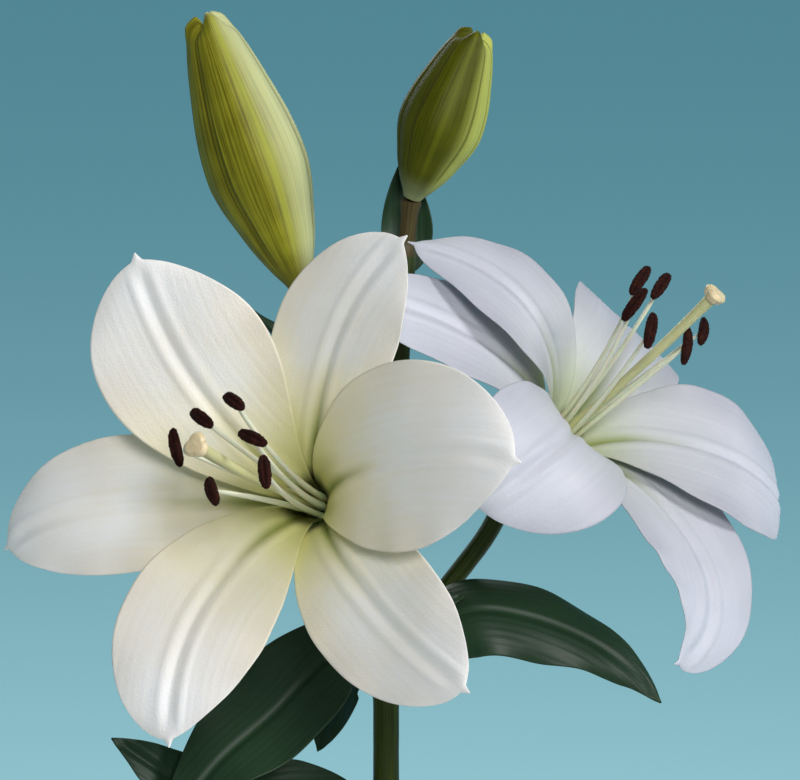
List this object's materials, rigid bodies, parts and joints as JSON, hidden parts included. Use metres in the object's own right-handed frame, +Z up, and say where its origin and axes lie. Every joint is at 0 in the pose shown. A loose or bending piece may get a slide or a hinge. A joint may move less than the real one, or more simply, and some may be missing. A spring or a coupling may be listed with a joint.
{
  "type": "lilies in a vase",
  "caption": "White trumpet lilies in bloom on a cut leafy stem with green buds, standing in water in a plain turned ceramic vase.",
  "frame": {"origin": "centre of the vase's flat underside", "axes": "+Z up along the vase's axis, -Y towards the viewer, the way the open front flower faces"},
  "size_m": [0.2742, 0.2222, 0.5009],
  "materials": {
    "glaze": "satin glaze",
    "water": "clear",
    "stem": "smooth skin",
    "bud_stalk": "smooth skin",
    "leaf": "waxy",
    "bud": "ribbed, matte",
    "tepal": "velvety",
    "filament": "smooth",
    "anther": "powdery",
    "pistil": "moist"
  },
  "bodies": {
    "root": {"bract_left": "leaf", "bract_right": "leaf", "bract_upper": "leaf", "front_flower_anther_1": "anther", "front_flower_anther_2": "anther", "front_flower_anther_3": "anther", "front_flower_anther_4": "anther", "front_flower_anther_5": "anther", "front_flower_anther_6": "anther", "front_flower_filament_1": "filament", "front_flower_filament_2": "filament", "front_flower_filament_3": "filament", "front_flower_filament_4": "filament", "front_flower_filament_5": "filament", "front_flower_filament_6": "filament", "front_flower_inner_tepal_lower_left": "tepal", "front_flower_inner_tepal_right": "tepal", "front_flower_inner_tepal_upper_left": "tepal", "front_flower_outer_tepal_left": "tepal", "front_flower_outer_tepal_lower_right": "tepal", "front_flower_outer_tepal_upper": "tepal", "front_flower_pistil": "pistil", "front_flower_stalk": "stem", "large_bud": "bud", "large_bud_stalk": "stem", "leaf_back": "leaf", "leaf_behind_left": "leaf", "leaf_front_left": "leaf", "leaf_lower_left": "leaf", "leaf_right": "leaf", "right_flower_anther_1": "anther", "right_flower_anther_2": "anther", "right_flower_anther_3": "anther", "right_flower_anther_4": "anther", "right_flower_anther_5": "anther", "right_flower_anther_6": "anther", "right_flower_filament_1": "filament", "right_flower_filament_2": "filament", "right_flower_filament_3": "filament", "right_flower_filament_4": "filament", "right_flower_filament_5": "filament", "right_flower_filament_6": "filament", "right_flower_inner_tepal_front": "tepal", "right_flower_inner_tepal_right": "tepal", "right_flower_inner_tepal_upper_left": "tepal", "right_flower_outer_tepal_back": "tepal", "right_flower_outer_tepal_left": "tepal", "right_flower_outer_tepal_low": "tepal", "right_flower_pistil": "pistil", "right_flower_stalk": "stem", "small_bud": "bud", "small_bud_stalk": "bud_stalk", "stem": "stem", "vase": "glaze", "water": "water"}
  },
  "joints": []
}
